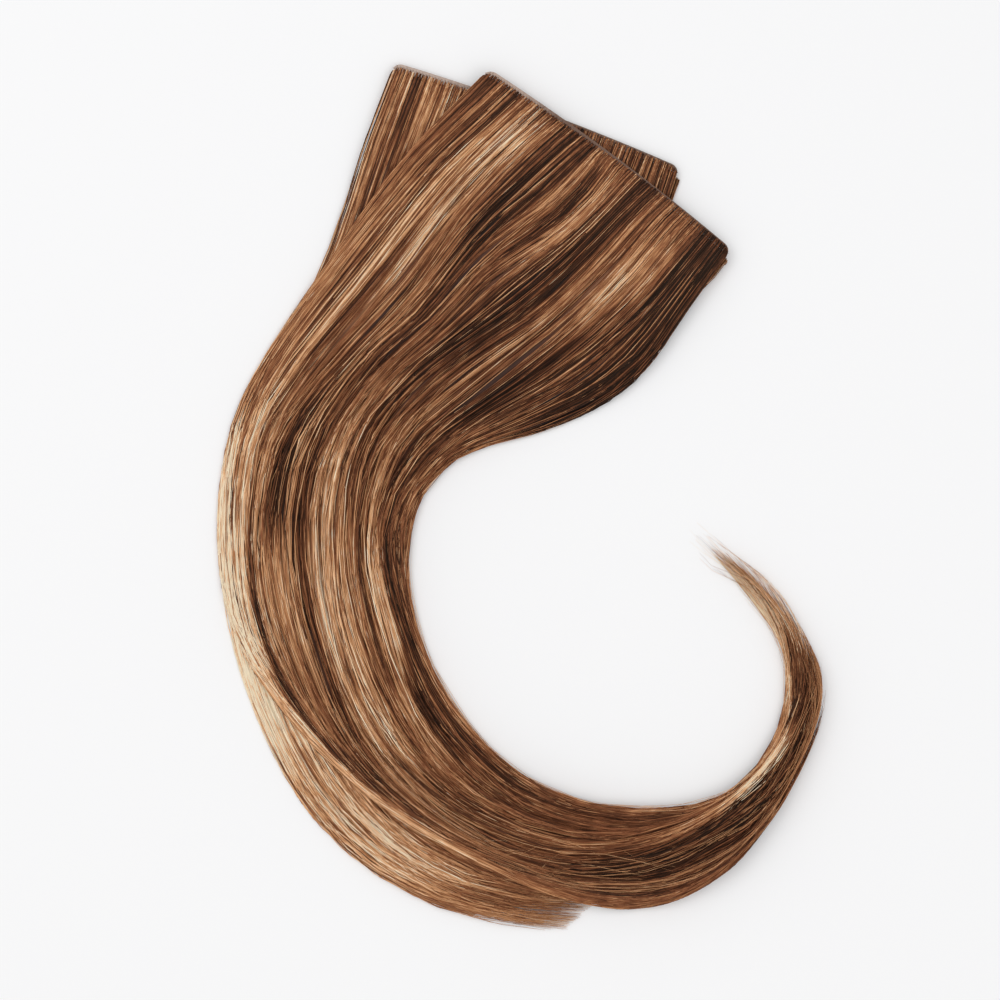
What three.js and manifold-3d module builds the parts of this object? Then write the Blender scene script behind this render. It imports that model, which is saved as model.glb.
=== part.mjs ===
// A hair extension of two wefts laid one over the other, their hair combed into one hank that curls at its end.
// Millimetres, +Z up. The hank lies on the XY plane and the origin is the middle of its footprint.
// Each weft has two rows of hair: a top strip with its hair, and an under strip that shows past the right end.

import * as THREE from "three";
import Module from "manifold-3d";

const wasm = await Module();
wasm.setup();

// Driving sizes
const GAP = 0.3; // between neighbouring pieces
const STRIP_WIDTH = 2.5; // measured along the hair
const STRIP_CORNER = 1.2; // how far a strip's upper corners are rounded off
const TOP_STRIP_THICKNESS = 1;
const UNDER_STRIP_THICKNESS = 0.7;
const UNDER_SETBACK = 4.2; // how far down the hair the under strip lies
const UNDER_OVERHANG = 2; // how far the under row shows past the right end
const UNDER_HAIR = 1.1; // height of the under row's hair
const BACK_LEVEL = 0; // the table
const FRONT_LEVEL = 3.4; // the back weft's height, which the front weft lies on

// How the solids are shaped and cut into steps
const LOCK_STEPS = 22; // rings along a lock
const UNDER_STEPS = 6; // rings along an under row's hair
const STRIP_STEPS = 12; // points along a strip's edge
const CROWN_POINTS = 5; // points over the top of a lock's ring
const GROOVE = 0.6; // height of a lock's sides, as a share of its crown
const TAPER_LENGTH = 60; // length over which a lock runs out
const TIP_SHARE = 0.14; // a lock's size at its very end
const UNDER_END = 1.6; // section where an under row's hair has run into the top row's
const UNDER_THINNING = 0.8; // how much of its height it loses on the way
const UNDER_START = 0.02; // the under row's left side, as a share of the way across
const DOME_POWER = 4; // how flat the hank's crown is before it falls to its edges
const WALK_STEPS = 400; // steps in which a lock's length is measured

// One row for each section across the hair, from strip to tip. Outer is the left or convex edge, inner the
// right or concave one, and each lock keeps its share of the way between them. Base and crown are heights,
// dome is how far the crown falls to both edges, bow is how far the middle stands out towards the strip, and
// lean is how far the middle locks swing to the inner side, as a share of the width.
const SECTION_COLUMNS = ["outerX", "outerY", "innerX", "innerY", "base", "crown", "dome", "bow", "lean"];
const BACK_SECTIONS = table(SECTION_COLUMNS, [
  [-52.5, 182, 67, 138, 1.3, 2.3, 0, 2, 0],
  [-65, 149.5, 54.5, 103.5, 0, 2.8, 0.3, 1.5, 0],
  [-77.5, 111, 33.5, 70, 0, 3.8, 0.8, 1, 0],
  [-96, 70, 0, 38.5, 0, 4.8, 1, 0, 0],
  [-115.5, 38.5, -33.5, 15.5, 0, 5.4, 1, 0, 0],
  [-123.5, 2.5, -48.5, -10, 0, 5.8, 1, 0, 0],
  [-125, -31, -51, -37, 0, 6, 1, 0, 0],
  [-121, -60.5, -46, -64.5, 0, 6, 1, 0, 0],
  [-110, -94, -33.5, -92, 0, 6, 1, 0, 0],
  [-92.5, -127.5, -14.5, -113, 0, 6, 1, 0, 0],
  [-68, -155, 8.5, -127.5, 0, 6, 1, 0, 0],
  [-34.5, -174, 33.5, -136.5, 0, 6, 1, 0, 0],
  [3.5, -183.5, 59, -138, 0, 6, 1, 0, 0],
  [40, -182, 82, -131.5, 0, 5.6, 1, 0, 0],
  [75.5, -169.5, 98.5, -119, 0, 5, 1, 0, 0],
  [107, -148.5, 111.5, -102.5, 0, 4, 1, 0, 0],
]);
const FRONT_SECTIONS = table(SECTION_COLUMNS, [
  [-13, 179, 88.5, 103.5, 4.7, 5.7, 0, 2, 0],
  [-50.5, 140, 67.5, 74, 2.8, 6.4, 0.3, 2, -0.05],
  [-80.5, 98.5, 50.5, 47, 1, 7.6, 0.8, 1, -0.07],
  [-105, 62.5, 11.5, 27.5, 0, 9, 1, 0, -0.03],
  [-120.5, 32, -27.5, 15.5, 0, 10.2, 1, 0, 0.04],
  [-126.5, -1.5, -43, -6.5, 0, 11, 1, 0, 0.08],
  [-125.5, -35, -46, -31.5, 0, 11.4, 1, 0, 0.1],
  [-117.5, -62.5, -40.5, -60.5, 0, 11.6, 1, 0, 0.08],
  [-101.5, -87.5, -28, -85.5, 0, 11.6, 1, 0, 0.04],
  [-77.5, -114, -9.5, -107.5, 0, 11.6, 1, 0, 0],
  [-48.5, -136.5, 14.5, -122, 0, 11.6, 1, 0, 0],
  [-15, -155, 38.5, -128.5, 0, 11.4, 1, 0, 0],
  [21, -169, 57, -128.5, 0, 11, 1, 0, 0],
  [57, -173, 73, -126, 0, 10.6, 1, 0, -0.04],
  [86, -161, 87.5, -120, 0, 10, 1, 0, -0.08],
  [106.5, -139.5, 99.5, -108, 0, 9.4, 1, 0, -0.14],
  [118.5, -115.5, 107, -97, 0, 8.6, 1, 0, -0.19],
  [127, -94, 110.5, -84, 0, 7.6, 1, 0, -0.23],
  [128.5, -75, 109.5, -72, 0, 6.6, 1, 0, -0.25],
  [121.5, -58.5, 106, -59, 0, 5.6, 1, 0, -0.25],
  [108, -36.5, 94.5, -41.5, 0, 4.4, 1, 0, -0.25],
  [80.5, -16.5, 77, -21, 0, 3, 1, 0, -0.2],
]);

// One row for each lock. From and to are its sides as shares of the way from outer to inner edge, lift is its
// height beside its neighbours', and length is its own.
const LOCK_COLUMNS = ["from", "to", "lift", "length"];
const BACK_LOCKS = table(LOCK_COLUMNS, [
  [0, 0.16, 0.92, 472],
  [0.13, 0.29, 1, 484],
  [0.26, 0.42, 0.9, 480],
  [0.39, 0.55, 1, 474],
  [0.52, 0.68, 0.94, 466],
  [0.65, 0.81, 1, 460],
  [0.78, 1, 0.9, 440],
]);
const FRONT_LOCKS = table(LOCK_COLUMNS, [
  [0, 0.12, 0.9, 560],
  [0.1, 0.22, 1, 564],
  [0.2, 0.32, 0.92, 568],
  [0.3, 0.42, 1, 572],
  [0.4, 0.52, 0.9, 574],
  [0.5, 0.62, 1, 572],
  [0.6, 0.72, 0.94, 566],
  [0.7, 0.82, 1, 556],
  [0.8, 0.91, 0.92, 542],
  [0.89, 1, 0.96, 522],
]);

const backHairMaterial = new THREE.MeshStandardMaterial({ color: 0x8d6240, roughness: 0.42, metalness: 0 });
const frontHairMaterial = new THREE.MeshStandardMaterial({ color: 0x74492c, roughness: 0.42, metalness: 0 });
const stripMaterial = new THREE.MeshStandardMaterial({ color: 0xb79c8c, roughness: 0.5, metalness: 0 });

function table(columns, rows) {
  return rows.map((row) => Object.fromEntries(columns.map((name, i) => [name, row[i]])));
}

// The way one weft's hair runs: any place across and along it, worked out between the table's sections.
class Flow {
  constructor(sections) {
    this.last = sections.length - 1;
    this.outer = this.curve(sections, "outerX", "outerY");
    this.inner = this.curve(sections, "innerX", "innerY");
    this.heights = this.curve(sections, "base", "crown");
    this.forms = this.curve(sections, "dome", "bow", "lean");
  }

  curve(sections, first, second, third) {
    const points = sections.map((row) => new THREE.Vector3(row[first], row[second], row[third] ?? 0));
    return new THREE.CatmullRomCurve3(points, false, "catmullrom");
  }

  // The point on the table at a share across, moved down the hair by some millimetres.
  ground(across, section, down = 0) {
    const share = section / this.last;
    const outer = this.outer.getPoint(share);
    const side = this.inner.getPoint(share).sub(outer);
    const { y: bow, z: lean } = this.forms.getPoint(share);
    const middling = 1 - (2 * across - 1) ** 2;
    const towardsStrip = new THREE.Vector3(-side.y, side.x, 0).normalize();
    outer.addScaledVector(side, across + lean * middling);
    return outer.addScaledVector(towardsStrip, bow * middling - down);
  }

  width(section) {
    const share = section / this.last;
    return this.outer.getPoint(share).distanceTo(this.inner.getPoint(share));
  }

  base(section) {
    return Math.max(0, this.heights.getPoint(section / this.last).x);
  }

  // The hair's height over its base, which falls to both edges as far as the dome says.
  rise(across, section) {
    const share = section / this.last;
    const arch = Math.sqrt(Math.max(0, 1 - (2 * across - 1) ** DOME_POWER));
    const dome = THREE.MathUtils.clamp(this.forms.getPoint(share).x, 0, 1);
    return (this.heights.getPoint(share).y - this.base(section)) * (1 - dome + dome * arch);
  }

  // The section that lies a length of hair from the strip, measured along the hair.
  sectionAt(across, length) {
    const step = this.last / WALK_STEPS;
    let section = 0;
    let walked = 0;
    while (section < this.last) {
      const next = Math.min(this.last, section + step);
      const stride = this.ground(across, section).distanceTo(this.ground(across, next));
      if (walked + stride >= length) {
        return section + (step * (length - walked)) / stride;
      }
      walked += stride;
      section = next;
    }
    return this.last;
  }
}

// A closed skin over rings of equally many points.
function loft(rings) {
  const sides = rings[0].length;
  const middles = [rings[0], rings.at(-1)].map((ring) =>
    ring.reduce((sum, point) => sum.add(point), new THREE.Vector3()).divideScalar(sides),
  );
  const points = [...rings.flat(), ...middles];
  const [firstMiddle, lastMiddle] = [points.length - 2, points.length - 1];
  const lastRing = (rings.length - 1) * sides;
  const triangles = [];
  for (let i = 0; i < sides; i++) {
    const next = (i + 1) % sides;
    for (let ring = 0; ring < lastRing; ring += sides) {
      const [a, b] = [ring + i, ring + next];
      triangles.push(a, a + sides, b, b, a + sides, b + sides);
    }
    triangles.push(firstMiddle, i, next, lastMiddle, lastRing + next, lastRing + i);
  }
  return new THREE.BufferGeometry().setFromPoints(points).setIndex(triangles);
}

function solidOf(geometry) {
  const vertProperties = new Float32Array(geometry.getAttribute("position").array);
  const triVerts = new Uint32Array(geometry.index.array);
  return new wasm.Manifold(new wasm.Mesh({ numProp: 3, vertProperties, triVerts }));
}

function geometryOf(solid) {
  const { vertProperties, triVerts } = solid.getMesh();
  const geometry = new THREE.BufferGeometry();
  geometry.setAttribute("position", new THREE.BufferAttribute(new Float32Array(vertProperties), 3));
  geometry.setIndex(new THREE.BufferAttribute(new Uint32Array(triVerts), 1));
  geometry.computeVertexNormals();
  return geometry;
}

function fuse(solids) {
  return solids.reduce((whole, solid) => whole.add(solid));
}

// Leaves out the crumbs that a cut can part from a solid.
function largest(solid) {
  return solid.decompose().reduce((best, body) => (body.volume() > best.volume() ? body : best));
}

// One ring of a lock: a flat foot, and a crown whose sides are lower, so that a groove parts it from the next.
function lockRing(flow, section, { from, to, lift, grow }) {
  const crown = Array.from({ length: CROWN_POINTS }, (_, i) => {
    const share = i / (CROWN_POINTS - 1);
    const across = from + (to - from) * share;
    const swell = GROOVE + (1 - GROOVE) * Math.sin(Math.PI * share);
    const top = flow.base(section) + flow.rise(across, section) * lift * swell;
    return flow.ground(across, section).setZ(top + grow);
  });
  const foot = flow.base(section) - grow;
  const feet = [to, from].map((across) => flow.ground(across, section).setZ(foot));
  return [...crown, ...feet];
}

// A lock runs from below the strip to its own length and tapers there, towards its inner side, where the next
// lock runs on. Grow makes it larger all round.
function lockSolid(flow, { from, to, lift, length }, grow = 0) {
  const middle = (from + to) / 2;
  const start = STRIP_WIDTH + GAP - grow;
  const end = length + grow;
  const rings = Array.from({ length: LOCK_STEPS + 1 }, (_, i) => {
    const walked = start + ((end - start) * i) / LOCK_STEPS;
    const section = flow.sectionAt(middle, walked);
    const size = Math.max(TIP_SHARE, Math.sqrt(Math.min(1, (end - walked) / TAPER_LENGTH)));
    const side = grow / flow.width(section);
    const outerSide = to - (to - from) * size - side;
    return lockRing(flow, section, { from: outerSide, to: to + side, lift: lift * size, grow });
  });
  return solidOf(loft(rings));
}

// The under row's hair: a low sheet that starts below its strip and runs into the hair of the top row.
function underHair(flow, level, grow = 0) {
  const rings = Array.from({ length: UNDER_STEPS + 1 }, (_, i) => {
    const share = i / UNDER_STEPS;
    const section = UNDER_END * share;
    const down = (UNDER_SETBACK + STRIP_WIDTH + GAP) * (1 - share);
    const end = 1 + (UNDER_OVERHANG * (1 - share) + grow) / flow.width(section);
    const foot = Math.min(level, flow.base(section)) - grow;
    const top = foot + UNDER_HAIR * (1 - share * UNDER_THINNING) + 2 * grow;
    const [left, right] = [UNDER_START, end].map((across) => flow.ground(across, section, down));
    return [
      left.clone().setZ(top),
      right.clone().setZ(top),
      right.clone().setZ(foot),
      left.clone().setZ(foot),
    ];
  });
  return solidOf(loft(rings));
}

// One edge of a strip in plan, some millimetres down the hair, with its ends drawn in to round the corners.
function stripEdge(flow, { from, to }, down, drawnIn) {
  const inset = drawnIn / flow.width(0);
  return Array.from({ length: STRIP_STEPS + 1 }, (_, i) => {
    const across = from + inset + ((to - from - 2 * inset) * i) / STRIP_STEPS;
    const { x, y } = flow.ground(across, 0, down);
    return new THREE.Vector2(x, y);
  });
}

function stripMesh(name, flow, size) {
  const outline = [
    ...stripEdge(flow, size, size.down + STRIP_WIDTH, 0),
    ...stripEdge(flow, size, size.down + STRIP_CORNER, 0).slice(-1),
    ...stripEdge(flow, size, size.down, STRIP_CORNER).reverse(),
    ...stripEdge(flow, size, size.down + STRIP_CORNER, 0).slice(0, 1),
  ];
  const geometry = new THREE.ExtrudeGeometry(new THREE.Shape(outline), {
    depth: size.thickness,
    bevelEnabled: false,
  });
  return named(name, geometry.translate(0, 0, size.level), stripMaterial);
}

function named(name, geometry, material) {
  const mesh = new THREE.Mesh(geometry, material);
  mesh.name = name;
  return mesh;
}

// The two strips of a weft: the top one at the root of its hair, the under one below that hair.
function strips(name, flow, level) {
  const top = { from: 0, to: 1, down: 0, level: flow.base(0), thickness: TOP_STRIP_THICKNESS };
  const under = {
    from: UNDER_START,
    to: 1 + UNDER_OVERHANG / flow.width(0),
    down: UNDER_SETBACK,
    level,
    thickness: UNDER_STRIP_THICKNESS,
  };
  return [stripMesh(name + "_strip", flow, top), stripMesh(name + "_under_strip", flow, under)];
}

const backFlow = new Flow(BACK_SECTIONS);
const frontFlow = new Flow(FRONT_SECTIONS);

const backHair = fuse([
  ...BACK_LOCKS.map((row) => lockSolid(backFlow, row)),
  underHair(backFlow, BACK_LEVEL),
]);
const backClearance = fuse([
  ...BACK_LOCKS.map((row) => lockSolid(backFlow, row, GAP)),
  underHair(backFlow, BACK_LEVEL, GAP),
]);
const frontHair = largest(
  fuse([
    ...FRONT_LOCKS.map((row) => lockSolid(frontFlow, row)),
    underHair(frontFlow, FRONT_LEVEL),
  ]).subtract(backClearance),
);

const extension = new THREE.Group();
extension.name = "hair_extension";
extension.add(
  ...strips("back", backFlow, BACK_LEVEL),
  named("back_hair", geometryOf(backHair), backHairMaterial),
  ...strips("front", frontFlow, FRONT_LEVEL),
  named("front_hair", geometryOf(frontHair), frontHairMaterial),
);

export default extension;
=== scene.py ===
"""Two lengths of hair extension that lie on a pale table, made of single hairs over soft hair bodies."""

import bpy
import numpy as np
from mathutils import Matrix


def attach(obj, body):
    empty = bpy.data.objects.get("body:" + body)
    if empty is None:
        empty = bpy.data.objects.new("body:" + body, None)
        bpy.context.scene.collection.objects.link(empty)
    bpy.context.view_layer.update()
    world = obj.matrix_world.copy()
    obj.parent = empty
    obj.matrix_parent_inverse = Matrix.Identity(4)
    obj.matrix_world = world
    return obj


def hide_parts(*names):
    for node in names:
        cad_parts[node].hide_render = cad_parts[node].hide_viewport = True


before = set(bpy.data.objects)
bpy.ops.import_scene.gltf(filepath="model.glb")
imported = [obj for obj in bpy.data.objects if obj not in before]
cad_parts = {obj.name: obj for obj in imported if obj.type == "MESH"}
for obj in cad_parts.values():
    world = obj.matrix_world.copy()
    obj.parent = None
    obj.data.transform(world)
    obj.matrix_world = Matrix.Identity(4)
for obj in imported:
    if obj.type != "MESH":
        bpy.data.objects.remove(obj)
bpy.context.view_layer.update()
scene = bpy.context.scene

# Sizes in millimetres, turned into metres when a mesh is made
MM = 0.001
STRIP_WIDTH = 2.5
CORNER_RADIUS = 3.6
GAP = 0.3
UNDER_SETBACK = 4.2
UNDER_THICKNESS = 0.7
UNDER_LENGTH = 110
BACK_LEVEL = 0.0
FRONT_LEVEL = 3.4
TAPER_LENGTH = 60.0
TUFT_PITCH = 1.4
ROOT_DEPTHS = (1.3, 2.3)
STRAND_RADIUS = 0.165
LOOSE_RADIUS = 0.08
LOOSE_LENGTH = 60

# Shares: the thickness left at the tips, and the parts of the weft where extra hairs start and where the
# lower rows' inner hairs settle
TIP_SHARE = 0.14
EXTRA_SHARES = (0.88, 1.0)
UNDER_INNER = 0.962

# How the flow of the hair is walked and combed
SHARES = 81
WALK_SECTIONS = 601
WALK_STEP = 4.0
WALK_PAST = 16.0
WALK_END = 8
COMB_STEPS = 7
COMB_ROUNDS = 3
COMB_ENDS = (200.0, 330.0)
TRACE_STEPS = 16
TRACE_SHARES = 201
GUIDE_STEPS = 210
SWELL = 0.14
FRONT_SWELLS = 9
BACK_SWELLS = 7

# The map of heights that the front's hair rests on
CELL = 1.0
COVER_LOW = (-150.0, -205.0)
COVER_CELLS = (300, 410)
COVER_SHARES = 241
COVER_STEPS = 900
COVER_GAP = 0.25
COVER_END = 13.0

# The bodies of deeper hair
BODY_COLUMNS = 61
BODY_ROWS = 90
BODY_SHARES = (0.012, 0.988)
BODY_LEVEL = 0.78
BODY_SKIN = 0.1
BODY_LINES = 260
BODY_LINE_CHANGE = 0.05
# How much darker the bodies' tone is than the streaks: painted shade of the deeper hair under the single
# hairs
BODY_PAINTED_SHADE = 0.04

# Numbers of a hair's sides, of hairs, of the clumps that they gather in and of the steps along each
STRAND_SIDES = 3
FRONT_HAIRS = 2700
FRONT_CLUMPS = 260
FRONT_STEPS = 38
BACK_HAIRS = 1350
BACK_CLUMPS = 150
BACK_STEPS = 29
LOOSE_CLUMPS = 40
LOOSE_STEPS = 22
LOOSE_ROOT_STEPS = 9
UNDER_HAIRS = 160
UNDER_STEPS = 13

# Steps along a hair: few where it lies straight, more in its bends and its tail
ROOT_STEPS = np.array([0.0, 2.5, 7.5, 18.0])
STRAIGHT_LENGTH = 105.0
STRAIGHT_STEPS = 6
WHOLE_LENGTH = 330.0
TAIL_LENGTH = 130.0
FRONT_TAIL_SHARE = 0.34
BACK_TAIL_SHARE = 0.2

# Where each change along a hair sets in and is complete, in millimetres from the strip
TUFT_SPAN = (1.0, 9.0)
SINK_SPAN = (3, 40)
HAIR_BEND_SPAN = (4, 40)
CLUMP_BEND_SPAN = (10, 70)
GATHER_SPAN = (30, 160)
UNDER_INNER_SPAN = (8, 50)
UNDER_SINK_SPAN = (6, 90)
# Where the painted light at the start of the lower rows' hairs fades out
UNDER_PAINTED_LIGHT_SPAN = (20, 60)

# The same, as shares of the hair's length
TIP_GATHER_SPAN = (0.75, 1.0)
FAN_SPAN = (0.8, 1.0)
THIN_SPAN = (0.86, 1.0)

# Slow bends: the length and size of each wave
CLUMP_WAVES = [(230, 0.8), (120, 0.35)]
HAIR_WAVES = [(170, 0.3), (90, 0.1)]

# The sections where the two wefts' longest hairs end
TAIL_END = 20.9
BACK_END = 12.35

# The table, the lights and the camera, in metres, with its lens and sensor in millimetres
TABLE_SIZE = 6
TABLE_DROP = 0.0004
LIGHT_SIZE = 1.6
WORLD_STRENGTH = 0.72
CAMERA_PLACE = (-0.0084, -0.0015, 1.5)
CAMERA_LENS = 128.6
CAMERA_SENSOR = 36

random = np.random.default_rng(41)

# Each section runs across the hair, from its outer edge to its inner edge, as in the part itself
# Its columns: outer x and y, inner x and y, base, crown, dome, bow and lean
OUTER = slice(0, 2)
INNER = slice(2, 4)
BASE, CROWN, DOME, BOW, LEAN = range(4, 9)
BACK_SECTIONS = [
    [-52.5, 182, 67, 138, 1.3, 2.3, 0, 2, 0],
    [-65, 149.5, 54.5, 103.5, 0, 2.8, 0.3, 1.5, 0],
    [-77.5, 111, 33.5, 70, 0, 3.8, 0.8, 1, 0],
    [-96, 70, 0, 38.5, 0, 4.8, 1, 0, 0],
    [-115.5, 38.5, -33.5, 15.5, 0, 5.4, 1, 0, 0],
    [-123.5, 2.5, -48.5, -10, 0, 5.8, 1, 0, 0],
    [-125, -31, -51, -37, 0, 6, 1, 0, 0],
    [-121, -60.5, -46, -64.5, 0, 6, 1, 0, 0],
    [-110, -94, -33.5, -92, 0, 6, 1, 0, 0],
    [-92.5, -127.5, -14.5, -113, 0, 6, 1, 0, 0],
    [-68, -155, 8.5, -127.5, 0, 6, 1, 0, 0],
    [-34.5, -174, 33.5, -136.5, 0, 6, 1, 0, 0],
    [3.5, -183.5, 59, -138, 0, 6, 1, 0, 0],
    [40, -182, 82, -131.5, 0, 5.6, 1, 0, 0],
    [75.5, -169.5, 98.5, -119, 0, 5, 1, 0, 0],
    [107, -148.5, 111.5, -102.5, 0, 4, 1, 0, 0],
]
FRONT_SECTIONS = [
    [-13, 179, 88.5, 103.5, 4.7, 5.7, 0, 2, 0],
    [-50.5, 140, 67.5, 74, 2.8, 6.4, 0.3, 2, -0.05],
    [-80.5, 98.5, 50.5, 47, 1, 7.6, 0.8, 1, -0.07],
    [-105, 62.5, 11.5, 27.5, 0, 9, 1, 0, -0.03],
    [-120.5, 32, -27.5, 15.5, 0, 10.2, 1, 0, 0.04],
    [-126.5, -1.5, -43, -6.5, 0, 11, 1, 0, 0.08],
    [-125.5, -35, -46, -31.5, 0, 11.4, 1, 0, 0.1],
    [-117.5, -62.5, -40.5, -60.5, 0, 11.6, 1, 0, 0.08],
    [-101.5, -87.5, -28, -85.5, 0, 11.6, 1, 0, 0.04],
    [-77.5, -114, -9.5, -107.5, 0, 11.6, 1, 0, 0],
    [-48.5, -136.5, 14.5, -122, 0, 11.6, 1, 0, 0],
    [-15, -155, 38.5, -128.5, 0, 11.4, 1, 0, 0],
    [21, -169, 57, -128.5, 0, 11, 1, 0, 0],
    [57, -173, 73, -126, 0, 10.6, 1, 0, -0.04],
    [86, -161, 87.5, -120, 0, 10, 1, 0, -0.08],
    [106.5, -139.5, 99.5, -108, 0, 9.4, 1, 0, -0.14],
    [118.5, -115.5, 107, -97, 0, 8.6, 1, 0, -0.19],
    [127, -94, 110.5, -84, 0, 7.6, 1, 0, -0.23],
    [128.5, -75, 109.5, -72, 0, 6.6, 1, 0, -0.25],
    [121.5, -58.5, 106, -59, 0, 5.6, 1, 0, -0.25],
    [108, -36.5, 94.5, -41.5, 0, 4.4, 1, 0, -0.25],
    [80.5, -16.5, 77, -21, 0, 3, 1, 0, -0.2],
]

# Streaks of colour: where each lies across and along the hair, its tone, and how much it covers
# A tone runs from 0, nearly black brown, to 1, cream
STREAK_COLUMNS = ("share", "half_width", "from_section", "to_section", "tone", "cover")
FRONT_TONE = 0.34
FRONT_STREAKS = [
    # The first row darkens the front's outer edge next to its strip: a painted shade band
    [0.03, 0.045, -1, 0.6, 0.2, 0.85],
    [0.03, 0.04, 0.6, 2.6, 0.44, 0.8],
    [0.1, 0.05, -1, 1.1, 0.27, 0.8],
    [0.1, 0.03, 1.1, 2.4, 0.42, 0.7],
    [0.16, 0.025, 0.4, 3, 0.57, 0.75],
    [0.24, 0.055, 0, 0.9, 0.84, 0.85],
    [0.22, 0.05, 0.8, 1.7, 0.58, 0.58],
    [0.225, 0.04, 1.6, 3.6, 0.36, 0.8],
    [0.24, 0.012, 0.5, 2.2, 0.82, 0.65],
    [0.29, 0.025, 0.6, 3, 0.44, 0.6],
    [0.38, 0.06, -1, 1.8, 0.08, 0.92],
    [0.285, 0.06, -1, 0.05, 0.1, 0.9],
    [0.47, 0.03, -1, 0.5, 0.52, 0.75],
    [0.345, 0.015, 1.4, 2.6, 0.46, 0.6],
    [0.44, 0.035, 1.5, 3.2, 0.17, 0.88],
    [0.45, 0.015, 0.4, 1, 0.64, 0.8],
    [0.5, 0.032, 0.25, 1.2, 0.03, 0.95],
    [0.545, 0.034, 0.25, 1.4, 0.66, 0.8],
    [0.52, 0.04, 1.6, 3, 0.44, 0.8],
    [0.64, 0.06, -1, 2.8, 0.11, 0.92],
    [0.73, 0.03, 0.4, 1.6, 0.48, 0.7],
    [0.82, 0.06, 0.45, 1.5, 0.62, 0.75],
    [0.8, 0.015, 0.5, 1.6, 0.82, 0.7],
    [0.81, 0.045, 2, 3.6, 0.1, 0.9],
    [0.95, 0.06, -1, 3.2, -0.04, 0.98],
    [0.91, 0.05, 1.2, 3.6, 0.14, 0.85],
    [0.03, 0.035, 2.4, 4, 0.66, 0.88],
    [0.1, 0.025, 2.6, 3.8, 0.4, 0.7],
    [0.16, 0.04, 2.8, 3.8, 0.5, 0.7],
    [0.36, 0.035, 2.6, 3.7, 0.14, 0.85],
    [0.458, 0.02, 2.6, 3.7, 0.18, 0.8],
    [0.53, 0.06, 2.8, 4, 0.58, 0.8],
    [0.68, 0.05, 2.8, 4.4, 0.22, 0.8],
    [0.09, 0.045, 3.8, 5, 0.6, 0.85],
    [0.165, 0.04, 3.6, 5.2, 0.72, 0.88],
    [0.24, 0.045, 3.8, 5.2, 0.6, 0.85],
    [0.325, 0.036, 3.5, 5.4, 0.05, 0.92],
    [0.4, 0.035, 3.6, 5.4, 0.4, 0.8],
    [0.45, 0.018, 3.6, 5.2, 0.24, 0.8],
    [0.52, 0.055, 4, 5.4, 0.72, 0.9],
    [0.6, 0.03, 4, 5.4, 0.46, 0.7],
    [0.67, 0.02, 3.8, 5.4, 0.2, 0.85],
    [0.705, 0.018, 4, 5.4, 0.38, 0.8],
    [0.765, 0.03, 3.6, 5, 0.14, 0.88],
    [0.84, 0.05, 3.8, 5.4, 0.28, 0.75],
    [0.045, 0.055, 4.2, 8.2, 1.0, 0.98],
    [0.125, 0.055, 5.2, 7.6, 1.0, 0.95],
    [0.195, 0.01, 5.4, 7.6, 0.12, 0.9],
    [0.26, 0.05, 5.2, 7.4, 0.7, 0.88],
    [0.36, 0.05, 5.4, 7.4, 0.69, 0.92],
    [0.425, 0.022, 5.4, 7.4, 0.32, 0.8],
    [0.52, 0.06, 5.4, 7.4, 0.8, 0.9],
    [0.625, 0.045, 5.4, 7.4, 0.6, 0.85],
    [0.69, 0.014, 5.4, 8, 0.2, 0.9],
    [0.75, 0.045, 5.4, 7.4, 0.74, 0.9],
    [0.845, 0.042, 5, 7.4, 0.06, 0.92],
    [0.95, 0.045, 5, 9, 0.4, 0.7],
    [0.06, 0.06, 7.4, 9, 0.72, 0.9],
    [0.165, 0.04, 7.4, 8.8, 0.1, 0.9],
    [0.19, 0.022, 6.3, 9, 0.12, 0.9],
    [0.31, 0.1, 7.4, 8.9, 0.5, 0.85],
    [0.525, 0.075, 7.4, 9, 0.72, 0.9],
    [0.635, 0.035, 7.4, 9.4, 0.36, 0.8],
    [0.705, 0.038, 7.4, 9, 0.56, 0.88],
    [0.78, 0.035, 7.4, 9, 0.1, 0.9],
    [0.87, 0.05, 7.4, 9.6, 0.36, 0.7],
    [0.02, 0.05, 8.8, 11, 0.64, 0.92],
    [0.02, 0.05, 11, 13, 0.38, 0.9],
    [0.26, 0.15, 8.7, 11.6, 0.18, 0.92],
    [0.45, 0.03, 9, 11, 0.46, 0.8],
    [0.505, 0.05, 9, 10.8, 0.56, 0.88],
    [0.59, 0.035, 9, 10.6, 0.22, 0.85],
    [0.66, 0.035, 9, 10.4, 0.44, 0.8],
    [0.8, 0.12, 9.6, 11.6, 0.23, 0.85],
    [0.8, 0.12, 11, 13.2, 0.29, 0.85],
    [0.55, 0.06, 10.6, 12.6, 0.39, 0.85],
    [0.57, 0.05, 12.6, 14.2, 0.6, 0.9],
    [0.27, 0.17, 11.6, 13.2, 0.13, 0.9],
    [0.33, 0.12, 13, 15.8, 0.12, 0.92],
    [0.45, 0.065, 11.6, 15.4, 0.04, 0.95],
    [0.43, 0.06, 15.4, 17.6, 0.07, 0.95],
    [0.03, 0.05, 12, 13.4, 0.34, 0.85],
    [0.08, 0.11, 13.4, 16.4, 0.34, 0.85],
    [0.605, 0.08, 14, 16.3, 1.05, 0.97],
    [0.78, 0.12, 13.4, 16.2, 0.68, 0.9],
    [0.61, 0.085, 16.3, 19, 0.2, 0.92],
    [0.86, 0.1, 16.2, 19.2, 0.58, 0.88],
    [0.8, 0.12, 18.6, 22, 0.7, 0.88],
    [0.95, 0.06, 17.4, 22, 1.0, 0.95],
    [0.62, 0.08, 18.6, 22, 0.74, 0.85],
    [0.72, 0.04, 18.2, 21.5, 0.2, 0.8],
    [0.86, 0.015, 18.4, 21.5, 0.3, 0.8],
    [0.985, 0.03, 16.6, 22, 1.05, 0.95],
    [0.3, 0.12, 15.6, 19.5, 0.38, 0.85],
    [0.46, 0.065, 17.3, 19.5, 0.46, 0.85],
    [0.5, 2, -2, 0.2, 0.28, 0.4],
]
BACK_TONE = 0.40
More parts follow.
